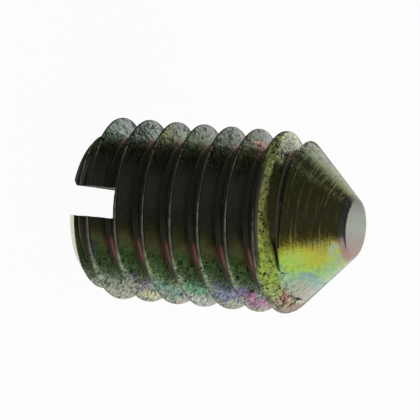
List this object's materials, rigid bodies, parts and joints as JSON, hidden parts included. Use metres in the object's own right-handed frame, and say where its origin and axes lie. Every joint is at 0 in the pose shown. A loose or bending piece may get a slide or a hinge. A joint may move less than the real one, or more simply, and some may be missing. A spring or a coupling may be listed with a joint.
{
  "type": "slotted set screw",
  "caption": "Headless slotted set screw with a coarse right-hand thread, a chamfered slotted end and a blunted cone point, zinc plated with an olive iridescent finish.",
  "frame": {"origin": "centre of the flat slotted end face, where the screw's axis meets it", "axes": "+Z along the screw's axis from the slotted end to the point; the slot runs along X"},
  "size_m": [0.0076, 0.0076, 0.0118],
  "materials": {
    "plated_steel": "zinc plate with an olive iridescent passivation, satin to glossy"
  },
  "bodies": {
    "root": {"set_screw": "plated_steel"}
  },
  "joints": []
}
